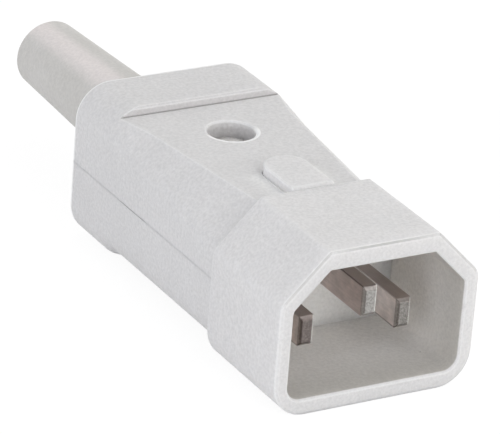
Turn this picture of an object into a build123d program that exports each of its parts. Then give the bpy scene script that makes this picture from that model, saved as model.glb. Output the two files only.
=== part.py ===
from build123d import *
import math
import os

os.makedirs("parts", exist_ok=True)

# Frame: mouth of the plug at Y = 0 facing -Y, +X right seen from the mouth, +Z up.

# Mating recess
recess_half = 12.3
recess_top = 8.5
recess_bottom = -8.55
recess_chamfer = 4.8
recess_depth = 17.0

# Collar around the recess
collar_wall = 1.85
roof_wall = 2.55
floor_wall = 2.15
collar_half = recess_half + collar_wall
collar_top = recess_top + roof_wall
collar_bottom = recess_bottom - floor_wall
collar_chamfer = 6.3
collar_end = 17.3
rim_bevel = 0.22

# Housing halves
axis_z = 0.15
collar_step = 0.75
body_half = collar_half - collar_step
body_corner = 4.8
belly_corner = 4.7
rear_bevel = 0.32
body_end = 56.4
cut_top = 9.82
cut_bottom = -9.75
cut_rear = 47.0
riser_bevel = 0.28
ramp_start = 45.4
ramp_end = 48.2
bevel_start_half = 7.64
bevel_start_y = 19.5
bevel_spread = 0.1247
bevel_slope = 0.92
bevel_blend = 3.0
bevel_end = 41.0
wall = 2.0
top_wall = 1.92
bottom_wall = 1.85
cavity_half = body_half - wall
cavity_top = cut_top - top_wall
cavity_bottom = cut_bottom + bottom_wall
cavity_chamfer = 4.4
cavity_end = 54.0
lip = 0.8
lip_wall = 1.2
base_end = 19.6
flange_start = 17.9
flange_end = 19.3
flange_out = 0.9

# Latch nose and its window
nose_half = 3.08
nose_top = 11.16
nose_front = 17.42
nose_crest = 18.05
nose_lead = 0.42
nose_side_end = 24.3
nose_rear = 27.2
window_gap = 0.06

# Contacts
pitch_half = 7.0
line_z = -2.2
earth_z = 2.0
blade_w = 2.0
blade_h = 4.0
tip_bevel = 0.45
line_tip = 5.2
earth_tip = 2.35
block_start = 22.0
block_end = 31.0
block_w = 5.0
block_h = 6.0
wire_hole = 1.35
terminal_thread = 1.5
carrier_end = 32.0

# Housing screw
screw_y = 38.6
bore_r = 3.22
head_r = 2.75
head_seat = 5.6
head_top = 8.15
screw_crown = ((0, 0.9), (0.2, 0.45), (0.62, 0.15), (1.3, 0))
thread_r = 1.5
clear_r = 1.7
column_r = 4.75
insert_r = 2.4
rib_w = 1.4
rib_l = 8.0
rib_h = 4.0
rib_x = cavity_half - 3.2
insert_end = -6.0

# Cord grip and sleeve
grip_y0 = 45.6
grip_y1 = 49.8
cord_r = 3.5
boss_half = 2.3
grip_reach = 4.1
grip_screw_x = cord_r + grip_reach
bar_gap = 1.0
bar_half = cavity_half - bar_gap
bar_seat = 3.2
sleeve_flange_r = 7.4
sleeve_flange_y0 = 51.4
sleeve_r = 6.1
sleeve_tip_r = 4.95
sleeve_end = 90.2
sleeve_bevel = 0.3


def ring(half, top, bottom, chamfer, low_r, side_r, top_r):
    """Outline with two slanted top corners, as a sketch in its own XY plane."""
    pts = [
        (-half, bottom),
        (half, bottom),
        (half, top - chamfer),
        (half - chamfer, top),
        (chamfer - half, top),
        (-half, top - chamfer),
    ]
    face = Polygon(*pts, align=None)
    if low_r > 0:
        low = [v for v in face.vertices() if abs(v.Y - bottom) < 1e-6]
        face = fillet(low, low_r)
    if side_r > 0:
        side = [v for v in face.vertices() if abs(abs(v.X) - half) < 1e-6 and abs(v.Y - top + chamfer) < 1e-6]
        face = fillet(side, side_r)
    if top_r > 0:
        tops = [v for v in face.vertices() if abs(v.Y - top) < 1e-6]
        face = fillet(tops, top_r)
    return face


def across(y):
    """Plane of a cross-section at the given Y, whose extrusions of negative amount run rearward."""
    return Plane.XZ.offset(-y)


def tomb(half, y0, y1, y2):
    """Outline with a straight front and an arched rear, seen from above."""
    rise = y2 - y1
    r = (half * half + rise * rise) / (2 * rise)
    with BuildSketch() as s:
        with BuildLine():
            Polyline((-half, y1), (-half, y0), (half, y0), (half, y1))
            ThreePointArc((half, y1), (0, y2), (-half, y1))
        make_face()
    return s.sketch


cavity_outline = ring(cavity_half, cavity_top, cavity_bottom, cavity_chamfer, 2.5, 0, 0)
base_outline = ring(cavity_half - 0.08, cavity_top - 0.04, cavity_bottom, cavity_chamfer, 2.5, 0, 0)
flange_outline = ring(
    cavity_half + flange_out - 0.08,
    cavity_top + flange_out - 0.06,
    cavity_bottom - flange_out + 0.05,
    cavity_chamfer + 0.37,
    2.9,
    0,
    0,
)
groove_outline = ring(
    cavity_half + flange_out,
    cavity_top + flange_out,
    cavity_bottom - flange_out,
    cavity_chamfer + 0.37,
    2.9,
    0,
    0,
)

# Front moulding: collar, recess, base wall and latch nose
with BuildPart() as front_shroud:
    with BuildSketch(across(0)):
        add(ring(collar_half, collar_top, collar_bottom, collar_chamfer, 4.6, 2.6, 0.5))
    extrude(amount=-collar_end)
    chamfer(front_shroud.edges().filter_by(lambda e: abs(e.center().Y - collar_end) < 1e-3), rim_bevel)
    chamfer(front_shroud.edges().filter_by(lambda e: abs(e.center().Y) < 1e-3), rim_bevel)
    with BuildSketch(across(collar_end - 0.5)):
        add(base_outline)
    extrude(amount=-(base_end - collar_end + 0.5))
    with BuildSketch(across(flange_start)):
        add(flange_outline)
    extrude(amount=-(flange_end - flange_start))
    with BuildSketch(Plane.XY.offset(6.4)):
        with Locations((0, (base_end - 0.5 + 28.0) / 2)):
            Rectangle(8.6, 28.0 - base_end + 0.5)
    extrude(amount=cavity_top - 0.1 - 6.4)
    with BuildPart() as nose:
        with BuildSketch(Plane.XY.offset(7.0)):
            add(tomb(nose_half, nose_front, nose_side_end, nose_rear))
        extrude(amount=nose_top - 7.0)
        with BuildSketch(Plane.YZ.offset(-nose_half - 2)):
            with BuildLine():
                Polyline(
                    (nose_front - 0.1, nose_top - nose_lead),
                    (nose_front, nose_top - nose_lead),
                    (nose_crest, nose_top),
                    (nose_crest, nose_top + 1),
                    (nose_front - 0.1, nose_top + 1),
                    (nose_front - 0.1, nose_top - nose_lead),
                )
            make_face()
        extrude(amount=2 * nose_half + 4, mode=Mode.SUBTRACT)
        crest = nose.edges().filter_by(lambda e: abs(e.center().Z - nose_top) < 1e-3 and e.center().Y > nose_crest + 0.1)
        chamfer(crest, 0.17)
    with BuildSketch(across(0)):
        add(ring(recess_half, recess_top, recess_bottom, recess_chamfer, 2.0, 1.0, 0.5))
    extrude(amount=-recess_depth, mode=Mode.SUBTRACT)
    rim_edges = front_shroud.edges().filter_by(lambda e: abs(e.center().Y) < 1e-3 and abs(e.center().X) < recess_half + 0.05 and abs(e.center().Z) < recess_top + 0.1)
    chamfer(rim_edges, rim_bevel)
    with BuildSketch(across(recess_depth - 1)):
        with Locations((-pitch_half, line_z), (pitch_half, line_z), (0, earth_z)):
            Rectangle(blade_w + 0.1, blade_h + 0.1)
    extrude(amount=-6, mode=Mode.SUBTRACT)

# Carrier behind the base wall with three bays for the contacts
with BuildPart() as contact_carrier:
    with BuildSketch(across(base_end)):
        add(ring(cavity_half - 0.08, 6.3, cavity_bottom, 3.2, 2.5, 0, 0))
    extrude(amount=-(block_start - base_end))
    with BuildSketch(across(block_start)):
        add(ring(cavity_half - 0.08, 3.4, cavity_bottom, 1.2, 2.5, 0, 0))
    extrude(amount=-(carrier_end - block_start))
    with BuildSketch(across(block_start)):
        with Locations((-pitch_half, 0), (pitch_half, 0)):
            Rectangle(block_w + 0.1, 2 * (block_h / 2 - line_z), align=(Align.CENTER, Align.CENTER))
    extrude(amount=-20, mode=Mode.SUBTRACT)
    with BuildSketch(across(block_start)):
        with Locations((0, earth_z - block_h / 2)):
            Rectangle(block_w + 0.1, 12, align=(Align.CENTER, Align.MIN))
    extrude(amount=-20, mode=Mode.SUBTRACT)
    with BuildSketch(across(base_end)):
        with Locations((-pitch_half, line_z), (pitch_half, line_z), (0, earth_z)):
            Rectangle(blade_w, blade_h)
    extrude(amount=-5, mode=Mode.SUBTRACT)



def contact_shape(x, z, tip):
    """Flat blade with a bevelled tip and its terminal block."""
    with BuildPart() as contact:
        with BuildSketch(across(tip + tip_bevel)):
            with Locations((x, z)):
                Rectangle(blade_w, blade_h)
        extrude(amount=-(block_start - tip - tip_bevel + 0.1))
        with BuildSketch(across(tip + tip_bevel)):
            with Locations((x, z)):
                Rectangle(blade_w, blade_h)
        with BuildSketch(across(tip)):
            with Locations((x, z)):
                Rectangle(blade_w - tip_bevel, blade_h - 2 * tip_bevel)
        loft()
        with BuildSketch(across(block_start)):
            with Locations((x, z)):
                Rectangle(block_w, block_h)
        extrude(amount=-(block_end - block_start))
        with BuildSketch(across(block_end)):
            with Locations((x, z)):
                Circle(wire_hole)
        extrude(amount=7.2, mode=Mode.SUBTRACT)
        with BuildSketch(Plane.XY.offset(z + block_h / 2)):
            with Locations((x, block_start + 5.2)):
                Circle(terminal_thread)
        extrude(amount=-block_h / 2, mode=Mode.SUBTRACT)
    return contact.part


def screw_shape(x, y, seat, tip_z, thread, head, head_h, slot_w, slot_d, turn, crown=((0, 0.3), (0.3, 0))):
    """Slotted screw along Z with a plain shank; crown gives the head's rim as steps in and down from its top corner."""
    top = seat + head_h
    with BuildPart() as screw:
        with BuildSketch(Plane.XZ):
            with BuildLine():
                rim = [(head - inset, top - down) for inset, down in crown]
                Polyline((0, tip_z), (thread, tip_z), (thread, seat), (head, seat), *rim, (0, top), (0, tip_z))
            make_face()
        revolve(axis=Axis.Z)
        with Locations(Location((0, 0, top), (0, 0, turn))):
            Box(slot_w, 2 * head + 2, 2 * slot_d, mode=Mode.SUBTRACT)
    return Pos(x, y, 0) * screw.part


# Line, neutral and earth contacts
with BuildPart() as line_pin:
    add(contact_shape(pitch_half, line_z, line_tip))

with BuildPart() as neutral_pin:
    add(contact_shape(-pitch_half, line_z, line_tip))

with BuildPart() as earth_pin:
    add(contact_shape(0, earth_z, earth_tip))

# Terminal screws, which press the wires in the blocks
terminal_y = block_start + 5.2
line_seat = line_z + block_h / 2 + 1.0
earth_seat = earth_z + block_h / 2 + 0.6

with BuildPart() as line_terminal_screw:
    add(screw_shape(pitch_half, terminal_y, line_seat, line_z + 0.9, terminal_thread, 2.3, 1.7, 0.7, 0.9, 20))

with BuildPart() as neutral_terminal_screw:
    add(screw_shape(-pitch_half, terminal_y, line_seat, line_z + 0.9, terminal_thread, 2.3, 1.7, 0.7, 0.9, -35))

with BuildPart() as earth_terminal_screw:
    add(screw_shape(0, terminal_y, earth_seat - 0.6, earth_z + 0.9, terminal_thread, 2.3, 1.2, 0.7, 0.6, 60))

# Housing halves share one outer form and one cavity, split at the parting plane
def block(x0, x1, y0, y1, z0, z1):
    """Plain box between two corners."""
    with BuildPart() as made:
        with Locations(((x0 + x1) / 2, (y0 + y1) / 2, (z0 + z1) / 2)):
            Box(x1 - x0, y1 - y0, z1 - z0)
    return made.part


def prism(outline, y0, y1):
    """Cross-section outline run from one Y to another."""
    with BuildPart() as made:
        with BuildSketch(across(y0)):
            add(outline)
        extrude(amount=-(y1 - y0))
    return made.part


def rounded(half, top, bottom, r):
    """Rounded cross-section outline."""
    with BuildSketch() as s:
        with Locations((0, (top + bottom) / 2)):
            RectangleRounded(2 * half, top - bottom, r)
    return s.sketch


with BuildPart() as envelope:
    add(prism(rounded(body_half, collar_top, collar_bottom, body_corner), collar_end, body_end))
    chamfer(envelope.faces().sort_by(Axis.Y)[-1].edges(), rear_bevel)

# Slanted top corner as a cutter: a flat that runs into the side through an arc, moves outwards to
# the rear and ends in the rear block's round corner
corner_x = body_half - body_corner
corner_z = collar_top - body_corner
corner_turn = math.asin((cut_top - corner_z) / body_corner)


def corner_point(turn):
    """Point on the rear block's round corner at an angle above its middle."""
    return (corner_x + body_corner * math.cos(turn), corner_z + body_corner * math.sin(turn))


def bevel_points(y):
    """Ends and middles of the flat and of its blend at Y, from the top down."""
    angle = math.atan(bevel_slope)
    turn = math.pi / 2 - angle
    leg = bevel_blend * math.tan(turn / 2)
    edge_x = bevel_start_half + bevel_spread * (y - bevel_start_y)
    side_z = cut_top - bevel_slope * (body_half - edge_x)
    return (
        (edge_x, cut_top),
        (body_half - leg * math.cos(angle), side_z + leg * math.sin(angle)),
        (
            body_half - bevel_blend + bevel_blend * math.cos(turn / 2),
            side_z - leg + bevel_blend * math.sin(turn / 2),
        ),
        (body_half, side_z - leg),
    )


def flat_section(y):
    """Cutter section at Y above the flat alone."""
    top = bevel_points(y)[0]
    out = body_half + 8
    with BuildSketch(across(y)) as s:
        Polygon(top, (out, top[1] - bevel_slope * (out - top[0])), (out, top[1] + 8), (top[0], top[1] + 8), align=None)
    return s.sketch


def blend_section(y):
    """Cutter section at Y between the flat's plane and the blend's arc."""
    top, low, middle, side = bevel_points(y)
    out = body_half + 0.5
    with BuildSketch(across(y)) as s:
        with BuildLine():
            ThreePointArc(low, middle, side)
            Polyline(side, (out, side[1]), (out, top[1] - bevel_slope * (out - top[0])), low)
        make_face()
    return s.sketch


def run_out_section(y, top, low, middle, side):
    """Cutter section at Y through a flat and an arc."""
    with BuildSketch(across(y)) as s:
        with BuildLine():
            Line(top, low)
            ThreePointArc(low, middle, side)
            Polyline(side, (side[0] + 8, side[1]), (side[0] + 8, top[1] + 8), top)
        make_face()
    return s.sketch


round_points = tuple(corner_point(corner_turn * share) for share in (1, 0.985, 0.4925, 0))

with BuildPart() as flat_wedge:
    add(flat_section(collar_end - 5))
    extrude(amount=2 * body_end, dir=(0, 1, bevel_slope * bevel_spread))
    add(block(0, 2 * body_half, collar_end - 1, bevel_end, -collar_top, 4 * collar_top), mode=Mode.INTERSECT)

with BuildPart() as blend_wedge:
    add(blend_section(collar_end - 1))
    add(blend_section(bevel_end))
    loft(ruled=True)

with BuildPart() as run_out_wedge:
    add(run_out_section(bevel_end, *bevel_points(bevel_end)))
    add(run_out_section(cut_rear, *round_points))
    loft(ruled=True)

# The low front stretch of the top, up to the riser with its broken top edge
with BuildPart() as top_cut:
    with BuildSketch(Plane.YZ.offset(-body_half - 8)):
        Polygon(
            (collar_end - 1, cut_top),
            (cut_rear, cut_top),
            (cut_rear, collar_top - riser_bevel),
            (cut_rear + riser_bevel, collar_top),
            (cut_rear + riser_bevel, collar_top + 4),
            (collar_end - 1, collar_top + 4),
            align=None,
        )
    extrude(amount=2 * body_half + 16)

# Lower half: a shallower front stretch, a ramp and the full rear end
with BuildPart() as belly_form:
    add(prism(rounded(body_half, collar_top, cut_bottom, belly_corner), collar_end, ramp_start))
    add(prism(rounded(body_half, collar_top, collar_bottom, body_corner), ramp_end, body_end))
    chamfer(belly_form.faces().sort_by(Axis.Y)[-1].edges(), rear_bevel)
    with BuildSketch(across(ramp_start)):
        add(rounded(body_half, collar_top, cut_bottom, belly_corner))
    with BuildSketch(across(ramp_end)):
        add(rounded(body_half, collar_top, collar_bottom, body_corner))
    loft(ruled=True)

with BuildPart() as cavity:
    add(prism(cavity_outline, collar_end - 1, cavity_end))
    add(prism(groove_outline, flange_start, flange_end))
    with BuildSketch(across(cavity_end - 1)):
        with Locations((0, axis_z)):
            Circle(sleeve_r)
    extrude(amount=-10)

with BuildPart() as sleeve_rib:
    add(prism(cavity_outline, sleeve_flange_y0 - 1.2, sleeve_flange_y0))
    with BuildSketch(across(sleeve_flange_y0 - 5)):
        with Locations((0, axis_z)):
            Circle(sleeve_r - 0.7)
    extrude(amount=-20, mode=Mode.SUBTRACT)

with BuildPart() as upper_housing:
    add(envelope.part)
    add(top_cut.part, mode=Mode.SUBTRACT)
    for wedge in (flat_wedge, blend_wedge, run_out_wedge):
        add(wedge.part, mode=Mode.SUBTRACT)
        add(mirror(wedge.part, about=Plane.YZ), mode=Mode.SUBTRACT)
    add(cavity.part, mode=Mode.SUBTRACT)
    rebate = body_half - lip_wall
    add(block(-rebate, rebate, collar_end - 1, cavity_end + 0.05, axis_z - 1, axis_z + lip + 0.05), mode=Mode.SUBTRACT)
    add(sleeve_rib.part)
    with Locations((0, screw_y, axis_z)):
        Cylinder(column_r, cut_top - 0.5 - axis_z, align=(Align.CENTER, Align.CENTER, Align.MIN))
    for side in (-1, 1):
        with Locations((side * rib_x, screw_y - 2.4, cavity_top + 0.6)):
            Box(rib_w, rib_l, rib_h, align=(Align.CENTER, Align.CENTER, Align.MAX))
    add(block(-30, 30, 0, 90, axis_z - 40, axis_z), mode=Mode.SUBTRACT)
    with Locations((0, screw_y, head_seat)):
        Cylinder(bore_r, 10, align=(Align.CENTER, Align.CENTER, Align.MIN), mode=Mode.SUBTRACT)
    with Locations((0, screw_y, cut_top - 0.18)):
        Cone(bore_r, bore_r + 0.2, 0.2, align=(Align.CENTER, Align.CENTER, Align.MIN), mode=Mode.SUBTRACT)
    with Locations((0, screw_y, axis_z)):
        Cylinder(clear_r, 20, mode=Mode.SUBTRACT)
    with BuildSketch(Plane.XY.offset(6.9)):
        add(tomb(nose_half + window_gap, collar_end - 1, nose_side_end, nose_rear + window_gap))
    extrude(amount=5, mode=Mode.SUBTRACT)

with BuildPart() as lower_housing:
    add(belly_form.part)
    add(block(-30, 30, 0, 90, axis_z, axis_z + 40), mode=Mode.SUBTRACT)
    lip_half = body_half - lip_wall - 0.05
    add(block(-lip_half, lip_half, collar_end, cavity_end, axis_z - 1, axis_z + lip))
    add(cavity.part, mode=Mode.SUBTRACT)
    with BuildPart() as lower_rib:
        add(sleeve_rib.part)
        add(block(-30, 30, 0, 90, axis_z, axis_z + 40), mode=Mode.SUBTRACT)
    with Locations((0, screw_y, axis_z)):
        Box(
            2 * column_r - 1.2,
            2 * column_r - 1.2,
            axis_z - cavity_bottom + 0.5,
            align=(Align.CENTER, Align.CENTER, Align.MAX),
        )
    for side in (-1, 1):
        with Locations((side * grip_screw_x, (grip_y0 + grip_y1) / 2, 1.0)):
            Box(
                2 * boss_half,
                2 * boss_half,
                1.0 - cavity_bottom + 0.3,
                align=(Align.CENTER, Align.CENTER, Align.MAX),
            )
    with BuildSketch(across(grip_y0 + 0.6)):
        with Locations((0, cavity_bottom - 0.3)):
            Rectangle(2 * grip_screw_x, 7.0, align=(Align.CENTER, Align.MIN))
        with Locations((0, axis_z)):
            Circle(cord_r, mode=Mode.SUBTRACT)
    extrude(amount=-(grip_y1 - grip_y0 - 1.2))
    for side in (-1, 1):
        with Locations((side * (cavity_half - 0.75), carrier_end + 0.05, 0)):
            Box(1.9, 1.25, -cavity_bottom + 0.3, align=(Align.CENTER, Align.MIN, Align.MAX))
    with Locations((0, screw_y, axis_z)):
        Cylinder(insert_r, axis_z - insert_end, align=(Align.CENTER, Align.CENTER, Align.MAX), mode=Mode.SUBTRACT)
    with Locations((0, screw_y, axis_z)):
        Cylinder(clear_r, axis_z + 7.4, align=(Align.CENTER, Align.CENTER, Align.MAX), mode=Mode.SUBTRACT)
    for side in (-1, 1):
        with Locations((side * grip_screw_x, (grip_y0 + grip_y1) / 2, 1.0)):
            Cylinder(1.25, 7.5, align=(Align.CENTER, Align.CENTER, Align.MAX), mode=Mode.SUBTRACT)

# Threaded brass insert and the screw that closes the housing
with BuildPart() as threaded_insert:
    with Locations((0, screw_y, insert_end)):
        Cylinder(insert_r, axis_z - insert_end, align=(Align.CENTER, Align.CENTER, Align.MIN))
        Cylinder(thread_r, 30, mode=Mode.SUBTRACT)

with BuildPart() as housing_screw:
    add(screw_shape(0, screw_y, head_seat, -5.2, thread_r, head_r, head_top - head_seat, 0.8, 1.1, 52, screw_crown))

# Bar and screws that grip the cord
with BuildPart() as cord_grip_bar:
    with BuildSketch(across(grip_y0)):
        with BuildLine():
            Polyline(
                (-bar_half, 1.0),
                (bar_half, 1.0),
                (bar_half, bar_seat),
                (cord_r + 2.1, bar_seat),
                (cord_r + 0.7, bar_seat + 2.7),
                (-cord_r - 0.7, bar_seat + 2.7),
                (-cord_r - 2.1, bar_seat),
                (-bar_half, bar_seat),
                (-bar_half, 1.0),
            )
        make_face()
        with Locations((0, axis_z)):
            Circle(cord_r, mode=Mode.SUBTRACT)
    extrude(amount=-(grip_y1 - grip_y0))
    for side in (-1, 1):
        with Locations((side * grip_screw_x, (grip_y0 + grip_y1) / 2, 0)):
            Cylinder(1.45, 20, mode=Mode.SUBTRACT)

with BuildPart() as cord_grip_screw_left:
    add(screw_shape(-grip_screw_x, (grip_y0 + grip_y1) / 2, bar_seat, -5.0, 1.25, 1.9, 1.6, 0.7, 0.8, 15))

with BuildPart() as cord_grip_screw_right:
    add(screw_shape(grip_screw_x, (grip_y0 + grip_y1) / 2, bar_seat, -5.0, 1.25, 1.9, 1.6, 0.7, 0.8, 80))

# Bend relief sleeve
with BuildPart() as bend_relief_sleeve:
    with Locations(Location((0, sleeve_flange_y0, axis_z), (-90, 0, 0))):
        Cylinder(sleeve_flange_r, cavity_end - sleeve_flange_y0, align=(Align.CENTER, Align.CENTER, Align.MIN))
        Cylinder(sleeve_r, body_end - sleeve_flange_y0, align=(Align.CENTER, Align.CENTER, Align.MIN))
    with BuildSketch(across(body_end)):
        with Locations((0, axis_z)):
            Circle(sleeve_r)
    with BuildSketch(across(sleeve_end - sleeve_bevel)):
        with Locations((0, axis_z)):
            Circle(sleeve_tip_r)
    loft(ruled=True)
    with BuildSketch(across(sleeve_end - sleeve_bevel)):
        with Locations((0, axis_z)):
            Circle(sleeve_tip_r)
    with BuildSketch(across(sleeve_end)):
        with Locations((0, axis_z)):
            Circle(sleeve_tip_r - sleeve_bevel)
    loft(ruled=True)
    with Locations(Location((0, sleeve_flange_y0, axis_z), (-90, 0, 0))):
        Cylinder(
            cord_r + 0.1, sleeve_end - sleeve_flange_y0, align=(Align.CENTER, Align.CENTER, Align.MIN), mode=Mode.SUBTRACT
        )

export_step(front_shroud.part, "parts/front_shroud.step")
export_step(contact_carrier.part, "parts/contact_carrier.step")
export_step(line_pin.part, "parts/line_pin.step")
export_step(neutral_pin.part, "parts/neutral_pin.step")
export_step(earth_pin.part, "parts/earth_pin.step")
export_step(line_terminal_screw.part, "parts/line_terminal_screw.step")
export_step(neutral_terminal_screw.part, "parts/neutral_terminal_screw.step")
export_step(earth_terminal_screw.part, "parts/earth_terminal_screw.step")
export_step(upper_housing.part, "parts/upper_housing.step")
export_step(lower_housing.part, "parts/lower_housing.step")
export_step(threaded_insert.part, "parts/threaded_insert.step")
export_step(housing_screw.part, "parts/housing_screw.step")
export_step(cord_grip_bar.part, "parts/cord_grip_bar.step")
export_step(cord_grip_screw_left.part, "parts/cord_grip_screw_left.step")
export_step(cord_grip_screw_right.part, "parts/cord_grip_screw_right.step")
export_step(bend_relief_sleeve.part, "parts/bend_relief_sleeve.step")
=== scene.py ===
import math

import bpy
from mathutils import Matrix, Vector


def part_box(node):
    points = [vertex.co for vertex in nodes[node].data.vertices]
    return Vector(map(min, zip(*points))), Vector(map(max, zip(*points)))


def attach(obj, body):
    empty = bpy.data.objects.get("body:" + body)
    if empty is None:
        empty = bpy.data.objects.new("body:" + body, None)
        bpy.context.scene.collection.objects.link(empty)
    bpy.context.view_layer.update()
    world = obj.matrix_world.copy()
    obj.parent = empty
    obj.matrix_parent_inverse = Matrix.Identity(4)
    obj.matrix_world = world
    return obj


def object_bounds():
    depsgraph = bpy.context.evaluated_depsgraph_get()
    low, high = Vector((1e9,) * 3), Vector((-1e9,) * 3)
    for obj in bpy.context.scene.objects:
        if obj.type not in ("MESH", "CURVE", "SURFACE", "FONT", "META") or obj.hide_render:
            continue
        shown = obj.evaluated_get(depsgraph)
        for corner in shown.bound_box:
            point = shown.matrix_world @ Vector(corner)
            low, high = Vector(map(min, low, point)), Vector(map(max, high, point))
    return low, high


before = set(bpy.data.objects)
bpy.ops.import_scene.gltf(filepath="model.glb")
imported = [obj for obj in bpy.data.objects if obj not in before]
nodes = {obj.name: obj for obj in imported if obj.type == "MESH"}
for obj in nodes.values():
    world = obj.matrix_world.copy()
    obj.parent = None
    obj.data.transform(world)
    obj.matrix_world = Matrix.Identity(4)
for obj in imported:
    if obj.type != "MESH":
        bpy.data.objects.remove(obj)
cad_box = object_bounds()

MM = 0.001
PHOTO_W = 500
PHOTO_H = 434

# Places that the finishes follow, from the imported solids
shroud_low, shroud_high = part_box("front_shroud")
upper_low, upper_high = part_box("upper_housing")
screw_low, screw_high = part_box("housing_screw")
rim_front = shroud_low[1]
body_front = upper_low[1]
body_rear = upper_high[1]
parting_height = upper_low[2]
screw_axis = (screw_low[1] + screw_high[1]) / 2
screw_top = screw_high[2]
side_pin_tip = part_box("line_pin")[0][1]
earth_pin_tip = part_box("earth_pin")[0][1]
# The recess ends in a wall of its own
recess_depth = 17.0 * MM
recess_end = rim_front + recess_depth
# The step on top lies behind the screw; its foot is level with the cut top
step_place = 47.0 * MM
step_foot = 9.82 * MM
well_radius = 3.22 * MM
# The screw's slot: half its width, its depth and its turn about the screw
slot_half = 0.4 * MM
slot_depth = 1.1 * MM
slot_turn = math.radians(52)
# The latch nose's outline on top: half width, where its sides end, its rear, and the gap round it
nose_half = 3.08 * MM
nose_side_end = 24.3 * MM
nose_rear = shroud_high[1] - 0.8 * MM
window_gap = 0.06 * MM
# The pale rib along the latch window, a painted highlight: its radius, the sides of its section, and how far
# its axis lies outside the window's edge and under the top
rib_radius = 0.17 * MM
rib_sides = 12
rib_aside = 0.55 * rib_radius
rib_sunk = 0.35 * rib_radius
# How far its path turns round the nose, in how many steps, and where along it and to what share it thins
rib_turn = math.radians(38)
rib_steps = 6
rib_thins_from = 0.72
rib_thins_to = 0.3


def linear(hex_colour):
    """sRGB hex text to the linear colour that shaders take."""
    out = []
    for i in (1, 3, 5):
        c = int(hex_colour[i:i + 2], 16) / 255.0
        out.append(c / 12.92 if c <= 0.04045 else ((c + 0.055) / 1.055) ** 2.4)
    return (*out, 1.0)


def beyond(place, *offsets_mm):
    """Places in metres, each some millimetres beyond the given one, or short of it where negative."""
    return [place + offset * MM for offset in offsets_mm]


def add_node(tree, kind, links=None, sockets=None, **settings):
    """Adds one node with its settings, its sockets' values and the links that reach it."""
    made = tree.nodes.new(kind)
    for key, value in settings.items():
        setattr(made, key, value)
    for key, value in (sockets or {}).items():
        made.inputs[key].default_value = value
    for key, source in (links or {}).items():
        tree.links.new(source, made.inputs[key])
    return made


def new_material(name):
    """A material with an empty tree, its output and object coordinates."""
    mat = bpy.data.materials.new(name)
    mat.use_nodes = True
    mat.node_tree.nodes.clear()
    out = mat.node_tree.nodes.new("ShaderNodeOutputMaterial")
    coords = mat.node_tree.nodes.new("ShaderNodeTexCoord").outputs["Object"]
    return mat, mat.node_tree, out, coords


def cloudy_tone(tree, coords, size_mm, dark, light):
    """A slow drift between two near colours, as the melt leaves where it flowed together."""
    cloud = add_node(tree, "ShaderNodeTexNoise", {"Vector": coords},
                     {"Scale": 1 / (size_mm * MM), "Detail": 3.0, "Roughness": 0.55})
    tone = add_node(tree, "ShaderNodeValToRGB", {"Fac": cloud.outputs["Fac"]})
    tone.color_ramp.elements[0].position = 0.3
    tone.color_ramp.elements[0].color = linear(dark)
    tone.color_ramp.elements[1].position = 0.7
    tone.color_ramp.elements[1].color = linear(light)
    return tone.outputs["Color"]


def tinted(tree, base, mask, colour, most):
    """The base colour, turned towards another one by at most a share where the mask is 1."""
    share = add_node(tree, "ShaderNodeMath", {0: mask}, {1: most}, operation="MULTIPLY")
    mix = add_node(tree, "ShaderNodeMix", {"Factor": share.outputs[0], 6: base}, {7: linear(colour)},
                   data_type="RGBA")
    return mix.outputs[2]


def step_mask(tree, value, start, end):
    """0 at the start value, 1 at the end value, smooth between them."""
    step = add_node(tree, "ShaderNodeMapRange", {"Value": value},
                    {"From Min": start, "From Max": end}, interpolation_type="SMOOTHSTEP")
    return step.outputs["Result"]


def both(tree, one, other):
    """The part that two masks share."""
    return add_node(tree, "ShaderNodeMath", {0: one, 1: other}, operation="MULTIPLY").outputs[0]


def span(tree, value, rise, fall):
    """0 outside the two pairs and 1 between them, smooth from a pair's first number to its second."""
    return both(tree, step_mask(tree, value, *rise), step_mask(tree, value, fall[1], fall[0]))


def off_parting(tree, coords):
    """How far a place is above or below the parting of the two halves."""
    height = add_node(tree, "ShaderNodeSeparateXYZ", {"Vector": coords}).outputs["Z"]
    off = add_node(tree, "ShaderNodeMath", {0: height}, {1: parting_height}, operation="SUBTRACT")
    return add_node(tree, "ShaderNodeMath", {0: off.outputs[0]}, operation="ABSOLUTE").outputs[0]


def softened_edges(tree, coords, radius_mm):
    """The normal with the tool's small edge radius, and masks of its convex edges and its crevices."""
    bevel = add_node(tree, "ShaderNodeBevel", None, {"Radius": radius_mm * MM}, samples=6)
    flat = add_node(tree, "ShaderNodeNewGeometry").outputs["True Normal"]
    agreed = add_node(tree, "ShaderNodeVectorMath", {0: bevel.outputs["Normal"], 1: flat},
                      operation="DOT_PRODUCT")
    turned = step_mask(tree, agreed.outputs["Value"], 0.999, 0.955)
    # The halves meet flush, so their shared edge keeps its flat normal
    apart = step_mask(tree, off_parting(tree, coords), 0.35 * MM, 0.45 * MM)
    normal = add_node(tree, "ShaderNodeMix", {"Factor": apart, 4: flat, 5: bevel.outputs["Normal"]},
                      data_type="VECTOR").outputs[1]
    turned = both(tree, turned, apart)
    # The painted crevice shade sees only the piece's own corners, so a neighbour that rests on it draws no
    # line
    sky = add_node(tree, "ShaderNodeAmbientOcclusion", None, {"Distance": 0.45 * MM}, samples=8,
                   only_local=True).outputs["AO"]
    clear = step_mask(tree, sky, 0.78, 0.95)
    crevice = step_mask(tree, sky, 0.80, 0.45)
    return normal, both(tree, turned, clear), crevice


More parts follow.
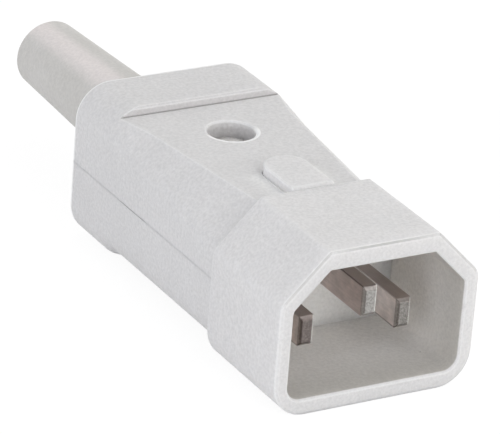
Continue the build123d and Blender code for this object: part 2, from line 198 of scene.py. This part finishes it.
def parting_line(tree, coords):
    """The hair line where the two halves meet, which opens a little beside the screw."""
    line = step_mask(tree, off_parting(tree, coords), 0.09 * MM, 0.03 * MM)
    along = add_node(tree, "ShaderNodeSeparateXYZ", {"Vector": coords}).outputs["Y"]
    reach = add_node(tree, "ShaderNodeMath", {0: along}, {1: screw_axis + 0.9 * MM}, operation="SUBTRACT")
    away = add_node(tree, "ShaderNodeMath", {0: reach.outputs[0]}, operation="ABSOLUTE")
    opening = add_node(tree, "ShaderNodeMapRange", {"Value": away.outputs[0]},
                       {"From Min": 2.2 * MM, "From Max": 4.6 * MM, "To Min": 1.0, "To Max": 0.05},
                       interpolation_type="SMOOTHSTEP")
    on_body = step_mask(tree, along, *beyond(body_front, 0.0, 0.4))
    return both(tree, both(tree, line, opening.outputs["Result"]), on_body)


def outward_lean(tree, coords):
    """How far the surface leans away from the plug's axis, from -1 to 1, and its normal's parts."""
    lean = add_node(tree, "ShaderNodeNewGeometry").outputs["True Normal"]
    spoke = add_node(tree, "ShaderNodeVectorMath", {0: coords}, {1: (1.0, 0.0, 1.0)}, operation="MULTIPLY")
    spoke = add_node(tree, "ShaderNodeVectorMath", {0: spoke.outputs["Vector"]}, operation="NORMALIZE")
    out = add_node(tree, "ShaderNodeVectorMath", {0: spoke.outputs["Vector"], 1: lean},
                   operation="DOT_PRODUCT").outputs["Value"]
    return out, add_node(tree, "ShaderNodeSeparateXYZ", {"Vector": lean}).outputs


def rim_bevel_masks(tree, coords):
    """Masks of the front rim's outer and inner bevels, told apart by which way they lean."""
    out, facing = outward_lean(tree, coords)
    along = add_node(tree, "ShaderNodeSeparateXYZ", {"Vector": coords}).outputs["Y"]
    # A thread of shade runs along the middle of the outer bevel, where it faces up
    thread = span(tree, along, beyond(rim_front, 0.03, 0.08), beyond(rim_front, 0.15, 0.2))
    outer = both(tree, both(tree, thread, step_mask(tree, out, 0.25, 0.45)),
                 step_mask(tree, facing["Z"], 0.1, 0.4))
    # The inner bevel is painted lighter as a highlight, most under the roof and along the left wall
    band = step_mask(tree, along, *beyond(rim_front, 0.27, 0.19))
    highlight_way = add_node(tree, "ShaderNodeMath", {0: facing["X"], 1: facing["Z"]}, operation="SUBTRACT")
    inner = both(tree, both(tree, band, step_mask(tree, out, -0.2, -0.35)),
                 step_mask(tree, highlight_way.outputs[0], -0.2, 0.4))
    return outer, inner


def recess_masks(tree, coords):
    """Masks of the whole recess, of its side walls, of their part near the mouth and of its end wall."""
    out, facing = outward_lean(tree, coords)
    along = add_node(tree, "ShaderNodeSeparateXYZ", {"Vector": coords}).outputs["Y"]
    facing_in = step_mask(tree, out, -0.3, -0.6)
    side_walls = both(tree, facing_in, step_mask(tree, along, *beyond(rim_front, 0.3, 0.6)))
    mouth = both(tree, span(tree, along, beyond(rim_front, 0.2, 0.5), beyond(rim_front, 0.8, 9.0)), facing_in)
    behind_rim = span(tree, along, beyond(rim_front, 0.3, 0.6), beyond(recess_end, 0.1, 0.2))
    recess = both(tree, behind_rim, step_mask(tree, out, 0.15, 0.05))
    end_wall = both(tree, both(tree, recess, step_mask(tree, facing["Y"], -0.8, -0.95)),
                    step_mask(tree, along, *beyond(recess_end, -0.3, -0.1)))
    return recess, side_walls, mouth, end_wall


def reach_from_screw(tree, coords):
    """How far a place is from the housing screw's axis."""
    centre = add_node(tree, "ShaderNodeVectorMath", {0: coords}, {1: (0.0, screw_axis, 0.0)},
                      operation="SUBTRACT")
    flat = add_node(tree, "ShaderNodeVectorMath", {0: centre.outputs["Vector"]}, {1: (1.0, 1.0, 0.0)},
                    operation="MULTIPLY")
    return add_node(tree, "ShaderNodeVectorMath", {0: flat.outputs["Vector"]},
                    operation="LENGTH").outputs["Value"]


def well_rim_highlight_mask(tree, coords):
    """The front of the screw well's chamfered mouth, painted lighter as a highlight."""
    ring = span(tree, reach_from_screw(tree, coords), beyond(well_radius, -0.05, 0.02),
                beyond(well_radius, 0.5, 0.62))
    place = add_node(tree, "ShaderNodeSeparateXYZ", {"Vector": coords})
    front = step_mask(tree, place.outputs["Y"], *beyond(screw_axis, 0.6, -1.2))
    high = step_mask(tree, place.outputs["Z"], *beyond(step_foot, -0.5, -0.3))
    return both(tree, both(tree, ring, front), high)


def well_wall_shade_mask(tree, coords):
    """The screw well's upright wall, painted darker as shade."""
    within = step_mask(tree, reach_from_screw(tree, coords), *beyond(well_radius, 0.08, 0.02))
    height = add_node(tree, "ShaderNodeSeparateXYZ", {"Vector": coords}).outputs["Z"]
    return both(tree, within, step_mask(tree, height, *beyond(step_foot, -0.4, -1.2)))


def slot_shade_mask(tree, coords):
    """The inside of the housing screw's slot, painted near black as shade."""
    centre = add_node(tree, "ShaderNodeVectorMath", {0: coords}, {1: (0.0, screw_axis, 0.0)},
                      operation="SUBTRACT")
    across = add_node(tree, "ShaderNodeVectorMath", {0: centre.outputs["Vector"]},
                      {1: (math.cos(slot_turn), math.sin(slot_turn), 0.0)}, operation="DOT_PRODUCT")
    off = add_node(tree, "ShaderNodeMath", {0: across.outputs["Value"]}, operation="ABSOLUTE")
    within = step_mask(tree, off.outputs[0], *beyond(slot_half, 0.05, 0.02))
    height = add_node(tree, "ShaderNodeSeparateXYZ", {"Vector": coords}).outputs["Z"]
    slot_floor = screw_top - slot_depth
    return both(tree, within, step_mask(tree, height, *beyond(slot_floor, -0.06, -0.03)))


def nose_side_light_mask(tree, coords):
    """The housing's top on both sides of the latch nose, painted lighter to cancel the shadow the nose casts.
    """
    place = add_node(tree, "ShaderNodeSeparateXYZ", {"Vector": coords})
    side = add_node(tree, "ShaderNodeMath", {0: place.outputs["X"]}, operation="ABSOLUTE")
    near = span(tree, side.outputs[0], beyond(nose_half, -0.1, 0.02), beyond(nose_half, 0.3, 3.4))
    beside = span(tree, place.outputs["Y"], beyond(body_front, 0.0, 0.2), beyond(nose_rear, -3.0, -0.5))
    high = span(tree, place.outputs["Z"], beyond(step_foot, -0.4, -0.2), beyond(step_foot, 0.05, 0.15))
    return both(tree, both(tree, near, beside), high)


def riser_shade_mask(tree, coords):
    """The small step's upright face, painted darker as shade."""
    place = add_node(tree, "ShaderNodeSeparateXYZ", {"Vector": coords})
    lean = add_node(tree, "ShaderNodeNewGeometry").outputs["True Normal"]
    forward = add_node(tree, "ShaderNodeSeparateXYZ", {"Vector": lean}).outputs["Y"]
    band = span(tree, place.outputs["Y"], beyond(step_place, -1.0, -0.6), beyond(step_place, 0.6, 1.0))
    high = step_mask(tree, place.outputs["Z"], *beyond(step_foot, -0.1, 0.05))
    return both(tree, both(tree, band, high), step_mask(tree, forward, -0.35, -0.7))


def rear_edge_highlight_mask(tree, coords):
    """The housing's rear edge round the sleeve, painted lighter as a highlight."""
    along = add_node(tree, "ShaderNodeSeparateXYZ", {"Vector": coords}).outputs["Y"]
    return step_mask(tree, along, *beyond(body_rear, -0.6, -0.45))


def top_highlight_mask(tree):
    """What faces up and a little to one side: a band along the sleeve's top that is painted lighter as a
    highlight.
    """
    lean = add_node(tree, "ShaderNodeNewGeometry").outputs["Normal"]
    way = add_node(tree, "ShaderNodeSeparateXYZ", {"Vector": lean})
    upward = step_mask(tree, way.outputs["Z"], 0.6, 0.93)
    return both(tree, upward, step_mask(tree, way.outputs["X"], 0.12, -0.3))


def specks(tree, coords, spacing_mm, size_mm, kept):
    """A few tiny dark flecks, as recycled pigment and handling leave, in a share of the cells."""
    cells = add_node(tree, "ShaderNodeTexVoronoi", {"Vector": coords},
                     {"Scale": 1 / (spacing_mm * MM), "Randomness": 1.0})
    spot = step_mask(tree, cells.outputs["Distance"], size_mm / spacing_mm, 0.4 * size_mm / spacing_mm)
    pick = add_node(tree, "ShaderNodeSeparateColor", {"Color": cells.outputs["Color"]})
    chosen = step_mask(tree, pick.outputs["Red"], kept, kept * 0.8)
    return both(tree, spot, chosen)


def moulded_plastic(name, light, dark, edge_highlight, crevice_shade, roughness, grain_mm, grain_depth_mm, mottle,
                    edge_mm, glow_mm, on_shell=False, top_highlight=None):
    """Thermoplastic moulded in a spark-eroded tool: matt and finely grained, with convex edges painted
    lighter as highlights and crevices painted darker as shade.
    """
    mat, tree, out, coords = new_material(name)
    colour = cloudy_tone(tree, coords, 9.0, dark, light)
    # A band along the top is painted lighter as a highlight
    if top_highlight:
        colour = tinted(tree, colour, top_highlight_mask(tree), top_highlight, 1.0)
    if on_shell:
        # The recess is painted with light and shade: its side walls paler and warmer, its mouth darker, its
        # end wall near white
        recess, side_walls, mouth, end_wall = recess_masks(tree, coords)
        colour = tinted(tree, colour, side_walls, "#E4E2DF", 0.8)
        colour = tinted(tree, colour, mouth, "#B7B4AE", 0.7)
        colour = tinted(tree, colour, end_wall, "#FAF9F5", 1.0)
        # The step's upright face is painted darker as shade
        colour = tinted(tree, colour, riser_shade_mask(tree, coords), "#CFCDCD", 1.0)
        # The screw well's wall is painted darker as shade
        colour = tinted(tree, colour, well_wall_shade_mask(tree, coords), "#C9C7C7", 0.8)
        # The top beside the latch nose is painted lighter against the nose's cast shadow
        colour = tinted(tree, colour, nose_side_light_mask(tree, coords), "#F4F4F3", 0.7)
    # The tool's spark-eroded grain is near 0.1 mm, drawn coarser so that it shows at the photograph's size
    grain = add_node(tree, "ShaderNodeTexNoise", {"Vector": coords},
                     {"Scale": 1 / (grain_mm * MM), "Detail": 2.0, "Roughness": 0.6})
    shade = add_node(tree, "ShaderNodeMapRange", {"Value": grain.outputs["Fac"]},
                     {"From Min": 0.2, "From Max": 0.8, "To Min": 1 - mottle, "To Max": 1 + mottle})
    shaded = add_node(tree, "ShaderNodeVectorMath", {0: colour, 1: shade.outputs["Result"]},
                      operation="MULTIPLY")
    normal, edges, crevice = softened_edges(tree, coords, edge_mm)
    if on_shell:
        # The recess gets no painted crevice shade
        elsewhere = add_node(tree, "ShaderNodeMath", {1: recess}, {0: 1.0}, operation="SUBTRACT")
        crevice = both(tree, crevice, elsewhere.outputs[0])
    # Convex edges are painted lighter as highlights
    colour = tinted(tree, shaded.outputs["Vector"], edges, edge_highlight, 0.6)
    # Crevices are painted darker as shade
    colour = tinted(tree, colour, crevice, crevice_shade, 0.85)
    flecks = specks(tree, coords, spacing_mm=5.0, size_mm=0.14, kept=0.22)
    colour = tinted(tree, colour, flecks, "#8E8C8A", 0.8)
    if on_shell:
        outer, inner = rim_bevel_masks(tree, coords)
        colour = tinted(tree, colour, parting_line(tree, coords), "#8C8A88", 0.75)
        # The rim's outer bevel is painted darker as shade and its inner bevel lighter as a highlight
        colour = tinted(tree, colour, outer, "#A8A7A5", 1.0)
        colour = tinted(tree, colour, inner, "#FBFBF9", 1.0)
        # The screw well's front rim is painted lighter as a highlight
        colour = tinted(tree, colour, well_rim_highlight_mask(tree, coords), "#FCFCFB", 1.0)
        # The rear edge is painted lighter as a highlight
        colour = tinted(tree, colour, rear_edge_highlight_mask(tree, coords), "#FCFCFB", 0.9)
    bump = add_node(tree, "ShaderNodeBump", {"Height": grain.outputs["Fac"], "Normal": normal},
                    {"Strength": 1.0, "Distance": grain_depth_mm * MM})
    skin = add_node(tree, "ShaderNodeBsdfPrincipled",
                    {"Base Color": colour, "Normal": bump.outputs["Normal"]},
                    {"Roughness": roughness, "IOR": 1.5, "Specular IOR Level": 0.4,
                     "Subsurface Weight": 0.6, "Subsurface Radius": (1.0, 0.97, 0.92),
                     "Subsurface Scale": glow_mm * MM})
    tree.links.new(skin.outputs["BSDF"], out.inputs["Surface"])
    return mat


def plated_pin(name, tip, tip_colour, side_colour):
    """Nickel over brass: worn grey and pitted at the tip, with a warm uneven film behind it."""
    mat, tree, out, coords = new_material(name)
    # Fine lines run along the pin, as the rolled strip has them
    drawn = add_node(tree, "ShaderNodeMapping", {"Vector": coords}, {"Scale": (1.0, 0.08, 1.0)})
    lines = add_node(tree, "ShaderNodeTexNoise", {"Vector": drawn.outputs["Vector"]},
                     {"Scale": 1 / (0.25 * MM), "Detail": 3.0, "Roughness": 0.6})
    patina = add_node(tree, "ShaderNodeTexNoise", {"Vector": coords},
                      {"Scale": 1 / (1.6 * MM), "Detail": 3.0, "Roughness": 0.65})
    along = add_node(tree, "ShaderNodeSeparateXYZ", {"Vector": coords}).outputs["Y"]
    behind_tip = step_mask(tree, along, *beyond(tip, 0.05, 0.75))
    film = add_node(tree, "ShaderNodeMapRange", {"Value": patina.outputs["Fac"]},
                    {"From Min": 0.3, "From Max": 0.7, "To Min": 0.55, "To Max": 1.0})
    colour = add_node(tree, "ShaderNodeMix", {"Factor": both(tree, behind_tip, film.outputs["Result"])},
                      {6: linear(tip_colour), 7: linear(side_colour)}, data_type="RGBA").outputs[2]
    streak = add_node(tree, "ShaderNodeMapRange", {"Value": lines.outputs["Fac"]},
                      {"From Min": 0.3, "From Max": 0.7, "To Min": 0.88, "To Max": 1.06})
    streaked = add_node(tree, "ShaderNodeVectorMath", {0: colour, 1: streak.outputs["Result"]},
                        operation="MULTIPLY")
    # Shearing leaves the tip pitted, with bright and dull spots
    pits = add_node(tree, "ShaderNodeTexNoise", {"Vector": coords},
                    {"Scale": 1 / (0.22 * MM), "Detail": 2.0, "Roughness": 0.7})
    spotted = add_node(tree, "ShaderNodeMapRange", {"Value": pits.outputs["Fac"]},
                       {"From Min": 0.36, "From Max": 0.64, "To Min": 0.74, "To Max": 1.28})
    spots = add_node(tree, "ShaderNodeMix", {"Factor": behind_tip, 2: spotted.outputs["Result"]},
                     {3: 1.0}).outputs[0]
    pitted = add_node(tree, "ShaderNodeVectorMath", {0: streaked.outputs["Vector"], 1: spots},
                      operation="MULTIPLY")
    normal, edges, _ = softened_edges(tree, coords, 0.3)
    # Edges that face one way are painted dark as shade, and those that face the other way bright as a glint
    facing = add_node(tree, "ShaderNodeSeparateXYZ", {"Vector": normal})
    shaded_edge = both(tree, edges, step_mask(tree, facing.outputs["X"], 0.15, -0.15))
    glint_edge = both(tree, edges, step_mask(tree, facing.outputs["X"], 0.04, 0.25))
    # The top faces are painted darker as shade
    top_shade = step_mask(tree, facing.outputs["Z"], 0.6, 0.9)
    colour = tinted(tree, pitted.outputs["Vector"], top_shade, "#A39692", 0.7)
    colour = tinted(tree, colour, shaded_edge, "#4E4340", 0.85)
    colour = tinted(tree, colour, glint_edge, "#FFFFFB", 0.95)
    # The painted glint is made less metallic, so that it shows bright
    mirror = add_node(tree, "ShaderNodeMapRange", {"Value": glint_edge}, {"To Min": 1.0, "To Max": 0.1})
    rough = add_node(tree, "ShaderNodeMapRange", {"Value": patina.outputs["Fac"]},
                     {"From Min": 0.3, "From Max": 0.7, "To Min": 0.3, "To Max": 0.44})
    bump = add_node(tree, "ShaderNodeBump", {"Height": lines.outputs["Fac"], "Normal": normal},
                    {"Strength": 1.0, "Distance": 0.006 * MM})
    skin = add_node(tree, "ShaderNodeBsdfPrincipled",
                    {"Base Color": colour, "Metallic": mirror.outputs["Result"],
                     "Roughness": rough.outputs["Result"], "Normal": bump.outputs["Normal"]})
    tree.links.new(skin.outputs["BSDF"], out.inputs["Surface"])
    return mat


def turned_metal(name, light, dark, edge, roughness):
    """Metal turned on a lathe: fine marks and a slightly blotched plating, with edges painted bright as
    highlights and crevices dark as shade.
    """
    mat, tree, out, coords = new_material(name)
    colour = cloudy_tone(tree, coords, 1.2, dark, light)
    marks = add_node(tree, "ShaderNodeTexNoise", {"Vector": coords},
                     {"Scale": 1 / (0.2 * MM), "Detail": 3.0, "Roughness": 0.6})
    normal, edges, crevice = softened_edges(tree, coords, 0.12)
    # Edges are painted lighter as highlights and crevices darker as shade
    colour = tinted(tree, colour, edges, edge, 0.8)
    colour = tinted(tree, colour, crevice, "#5B5855", 0.7)
    # The housing screw's slot is painted near black as shade
    colour = tinted(tree, colour, slot_shade_mask(tree, coords), "#171514", 0.95)
    rough = add_node(tree, "ShaderNodeMapRange", {"Value": marks.outputs["Fac"]},
                     {"From Min": 0.3, "From Max": 0.7, "To Min": roughness, "To Max": roughness + 0.15})
    bump = add_node(tree, "ShaderNodeBump", {"Height": marks.outputs["Fac"], "Normal": normal},
                    {"Strength": 1.0, "Distance": 0.005 * MM})
    skin = add_node(tree, "ShaderNodeBsdfPrincipled",
                    {"Base Color": colour, "Roughness": rough.outputs["Result"],
                     "Normal": bump.outputs["Normal"]}, {"Metallic": 1.0})
    tree.links.new(skin.outputs["BSDF"], out.inputs["Surface"])
    return mat


# Glass-filled polyamide of the shells, from a spark-eroded tool: a dry matt skin, pale grey-white
# and finely speckled
housing_shell = moulded_plastic(
    "moulded_polyamide_housing", light="#DDDCDC", dark="#D9D8D8", edge_highlight="#F0F0F0", crevice_shade="#817E7B",
    roughness=0.58, grain_mm=0.42, grain_depth_mm=0.030, mottle=0.11, edge_mm=0.34, glow_mm=0.7,
    on_shell=True)
# The front shroud is from another batch, a touch paler; light passes a little way through its thin walls
shroud_shell = moulded_plastic(
    "moulded_polyamide_shroud", light="#E0DFDF", dark="#DCDBDB", edge_highlight="#F4F4F3", crevice_shade="#817E7B",
    roughness=0.58, grain_mm=0.42, grain_depth_mm=0.030, mottle=0.11, edge_mm=0.34, glow_mm=2.6,
    on_shell=True)
# The contact carrier and the cord grip's bar are the same plastic from a polished tool: smoother,
# whiter and a little creamy
insulator = moulded_plastic(
    "moulded_polyamide_insulator", light="#F1EFE9", dark="#EBE9E3", edge_highlight="#F6F4EE", crevice_shade="#8F8C84",
    roughness=0.45, grain_mm=0.4, grain_depth_mm=0.006, mottle=0.04, edge_mm=0.2, glow_mm=1.2)
# A pale rib put along the latch window as a painted highlight: the same plastic, made paler
highlight_rib_plastic = moulded_plastic(
    "painted_highlight_rib", light="#F6F6F4", dark="#F0F0EE", edge_highlight="#FCFCFA", crevice_shade="#D8D7D5",
    roughness=0.5, grain_mm=0.42, grain_depth_mm=0.010, mottle=0.04, edge_mm=0.08, glow_mm=0.5)
# The bend relief is a softer compound: warmer, slightly darker, with a waxy matt skin and a painted highlight
# along its top
sleeve = moulded_plastic(
    "moulded_soft_thermoplastic", light="#D3D1CE", dark="#CECCC8", edge_highlight="#DDDBD8", crevice_shade="#8F8C88",
    roughness=0.62, grain_mm=0.45, grain_depth_mm=0.014, mottle=0.09, edge_mm=0.3, glow_mm=0.5,
    top_highlight="#E7E1DF")
# Nickel over brass stampings: worn grey tips and a brown-grey film on the sides, with the edges painted dark
# as shade on one side and bright as a glint on the other
line_metal = plated_pin("nickel_plated_brass_line_pin", side_pin_tip,
                        tip_colour="#918E8A", side_colour="#F3E8E5")
neutral_metal = plated_pin("nickel_plated_brass_neutral_pin", side_pin_tip,
                           tip_colour="#78706D", side_colour="#F3E6E2")
earth_metal = plated_pin("nickel_plated_brass_earth_pin", earth_pin_tip,
                         tip_colour="#A19F9C", side_colour="#E8DCD9")
# Zinc over steel screws: grey-white and softly shining, with the housing screw's slot painted dark as shade
zinc = turned_metal("zinc_plated_steel", light="#E6E5E3", dark="#C4C2C0", edge="#FFFFFD", roughness=0.24)
# Plain turned brass of the threaded insert
brass = turned_metal("turned_brass", light="#C9A85E", dark="#B08F48", edge="#E8CF90", roughness=0.26)

finish = {
    "front_shroud": shroud_shell,
    "upper_housing": housing_shell,
    "lower_housing": housing_shell,
    "contact_carrier": insulator,
    "cord_grip_bar": insulator,
    "bend_relief_sleeve": sleeve,
    "line_pin": line_metal,
    "neutral_pin": neutral_metal,
    "earth_pin": earth_metal,
    "threaded_insert": brass,
}
for name, obj in nodes.items():
    obj.data.materials.clear()
    obj.data.materials.append(finish.get(name, zinc))


def highlight_rib_path():
    """Places along the latch window's left edge: its straight side, then the start of its round rear."""
    half = nose_half + window_gap
    rise = nose_rear - nose_side_end
    radius = (half * half + rise * rise) / (2 * rise)
    path = [(-half, body_front + 0.1 * MM), (-half, nose_side_end)]
    for i in range(1, rib_steps + 1):
        a = rib_turn * i / rib_steps
        path.append((-half + radius * (1 - math.cos(a)), nose_side_end + radius * math.sin(a)))
    return path


def highlight_rib_tree():
    """Geometry Nodes that sweep a round rib along a path, with the inputs for its radius and its finish."""
    tree = bpy.data.node_groups.new("highlight_rib_along_path", "GeometryNodeTree")
    face = tree.interface
    face.new_socket("Path", in_out="INPUT", socket_type="NodeSocketGeometry")
    rib_input = face.new_socket("Rib Radius", in_out="INPUT", socket_type="NodeSocketFloat")
    finish_input = face.new_socket("Finish", in_out="INPUT", socket_type="NodeSocketMaterial")
    face.new_socket("Rib", in_out="OUTPUT", socket_type="NodeSocketGeometry")
    given = add_node(tree, "NodeGroupInput")
    line = add_node(tree, "GeometryNodeMeshToCurve", {"Mesh": given.outputs["Path"]})
    section = add_node(tree, "GeometryNodeCurvePrimitiveCircle", {"Radius": given.outputs["Rib Radius"]},
                       {"Resolution": rib_sides})
    # The rib thins out round the nose
    along = add_node(tree, "GeometryNodeSplineParameter")
    thin = add_node(tree, "ShaderNodeMapRange", {"Value": along.outputs["Factor"]},
                    {"From Min": rib_thins_from, "From Max": 1.0,
                     "To Min": 1.0, "To Max": rib_thins_to})
    tapered = add_node(tree, "GeometryNodeSetCurveRadius",
                       {"Curve": line.outputs["Curve"], "Radius": thin.outputs["Result"]})
    swept = add_node(tree, "GeometryNodeCurveToMesh",
                     {"Curve": tapered.outputs["Curve"], "Profile Curve": section.outputs["Curve"],
                      "Scale": thin.outputs["Result"]}, {"Fill Caps": True})
    real = add_node(tree, "GeometryNodeRealizeInstances", {"Geometry": swept.outputs["Mesh"]})
    dressed = add_node(tree, "GeometryNodeSetMaterial",
                       {"Geometry": real.outputs["Geometry"], "Material": given.outputs["Finish"]})
    add_node(tree, "NodeGroupOutput", {"Rib": dressed.outputs["Geometry"]})
    return tree, rib_input, finish_input


def window_highlight_rib():
    """The pale rounded rib along the latch window's left edge, a painted highlight, part of it sunk in the
    top.
    """
    path = [(x - rib_aside, y, step_foot - rib_sunk) for x, y in highlight_rib_path()]
    mesh = bpy.data.meshes.new("latch_window_highlight_rib")
    mesh.from_pydata(path, [(i, i + 1) for i in range(len(path) - 1)], [])
    piece = bpy.data.objects.new("latch_window_highlight_rib", mesh)
    bpy.context.scene.collection.objects.link(piece)
    tree, rib_input, finish_input = highlight_rib_tree()
    modifier = piece.modifiers.new("flash", "NODES")
    modifier.node_group = tree
    modifier[rib_input.identifier] = rib_radius
    modifier[finish_input.identifier] = highlight_rib_plastic
    depsgraph = bpy.context.evaluated_depsgraph_get()
    made = bpy.data.meshes.new_from_object(piece.evaluated_get(depsgraph))
    piece.modifiers.clear()
    piece.data = made
    made.name = "latch_window_highlight_rib"
    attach(piece, "root")


window_highlight_rib()


def seen_ray(tree):
    """1 where the camera, a reflection or a refraction looks at the surroundings."""
    path = add_node(tree, "ShaderNodeLightPath")
    direct = add_node(tree, "ShaderNodeMath",
                      {0: path.outputs["Is Camera Ray"], 1: path.outputs["Is Glossy Ray"]},
                      operation="MAXIMUM")
    return add_node(tree, "ShaderNodeMath",
                    {0: direct.outputs[0], 1: path.outputs["Is Transmission Ray"]},
                    operation="MAXIMUM").outputs[0]


def pale_floor():
    """A pale floor under the object, which shows as white and keeps a soft shadow."""
    mesh = bpy.data.meshes.new("floor")
    level = cad_box[0][2] - 0.05 * MM
    half = 3.0
    corners = [(-half, -half, level), (half, -half, level), (half, half, level), (-half, half, level)]
    mesh.from_pydata(corners, [], [(0, 1, 2, 3)])
    floor = bpy.data.objects.new("floor", mesh)
    bpy.context.scene.collection.objects.link(floor)
    mat, tree, out, _ = new_material("pale_floor_paint")
    paint = add_node(tree, "ShaderNodeBsdfDiffuse", None, {"Color": linear("#E6E6E6")})
    # Seen directly, the floor is mostly its own glow, so that it is near white and its shadow stays soft
    seen_paint = add_node(tree, "ShaderNodeBsdfDiffuse", None, {"Color": (0.16, 0.16, 0.16, 1)})
    glow = add_node(tree, "ShaderNodeEmission", None, {"Strength": 0.9})
    seen = add_node(tree, "ShaderNodeAddShader", {0: seen_paint.outputs[0], 1: glow.outputs[0]})
    mix = add_node(tree, "ShaderNodeMixShader", {0: seen_ray(tree), 1: paint.outputs[0], 2: seen.outputs[0]})
    tree.links.new(mix.outputs[0], out.inputs["Surface"])
    floor.data.materials.append(mat)


def studio_world():
    """An even pale room, shown as white to the camera."""
    world = bpy.data.worlds.new("studio")
    bpy.context.scene.world = world
    world.use_nodes = True
    tree = world.node_tree
    tree.nodes.clear()
    out = tree.nodes.new("ShaderNodeOutputWorld")
    room = add_node(tree, "ShaderNodeBackground", None, {"Color": linear("#F6F7F8"), "Strength": 0.566})
    white = add_node(tree, "ShaderNodeBackground", None, {"Color": (1, 1, 1, 1), "Strength": 1.0})
    mix = add_node(tree, "ShaderNodeMixShader", {0: seen_ray(tree), 1: room.outputs[0], 2: white.outputs[0]})
    tree.links.new(mix.outputs[0], out.inputs["Surface"])


def softbox(name, place, aim, size, watts, colour):
    """A square area lamp that points at the aim, in metres and watts."""
    data = bpy.data.lights.new(name, "AREA")
    data.shape = "SQUARE"
    data.size = size
    data.energy = watts
    data.color = linear(colour)[:3]
    lamp = bpy.data.objects.new(name, data)
    lamp.location = place
    lamp.rotation_euler = (Vector(aim) - Vector(place)).to_track_quat("-Z", "Y").to_euler()
    bpy.context.scene.collection.objects.link(lamp)


pale_floor()
studio_world()
softbox("front_softbox", place=(0.25, -0.75, 0.3), aim=(0, 0.02, 0),
        size=0.6, watts=1.31, colour="#FFFDFA")
softbox("close_front_softbox", place=(0.06, -0.3, 0.2), aim=(0, 0, 0),
        size=0.25, watts=0.244, colour="#FFFFFF")
softbox("left_softbox", place=(-0.6, -0.15, 0.1), aim=(0, 0.02, 0),
        size=0.5, watts=1.97, colour="#F8F9FF")
softbox("rear_right_softbox", place=(0.45, 0.1, 0.45), aim=(0, 0.045, 0),
        size=0.9, watts=1.5, colour="#FFFCF8")

# Camera at the photo's viewing angle, with a long lens and the photo's slight roll
right = Vector((0.868845, -0.489595, 0.073520))
down = Vector((-0.148064, -0.398666, -0.905065))
ahead = Vector((0.472425, 0.775476, -0.418870))
eye = Vector((-240.82, -363.07, 213.75)) * MM
focal_px = 3956.7
sensor_mm = 36.0
centre_px = (250.21, 217.65)

data = bpy.data.cameras.new("camera")
data.sensor_fit = "HORIZONTAL"
data.sensor_width = sensor_mm
data.lens = focal_px * sensor_mm / PHOTO_W
data.clip_start = 0.05
data.clip_end = 20.0
data.shift_x = -(centre_px[0] - PHOTO_W / 2) / PHOTO_W
data.shift_y = (centre_px[1] - PHOTO_H / 2) / PHOTO_W
camera = bpy.data.objects.new("camera", data)
turn = Matrix((right, -down, -ahead)).transposed()
camera.matrix_world = Matrix.Translation(eye) @ turn.to_4x4()
bpy.context.scene.collection.objects.link(camera)
bpy.context.scene.camera = camera
bpy.context.scene.view_settings.view_transform = "Standard"
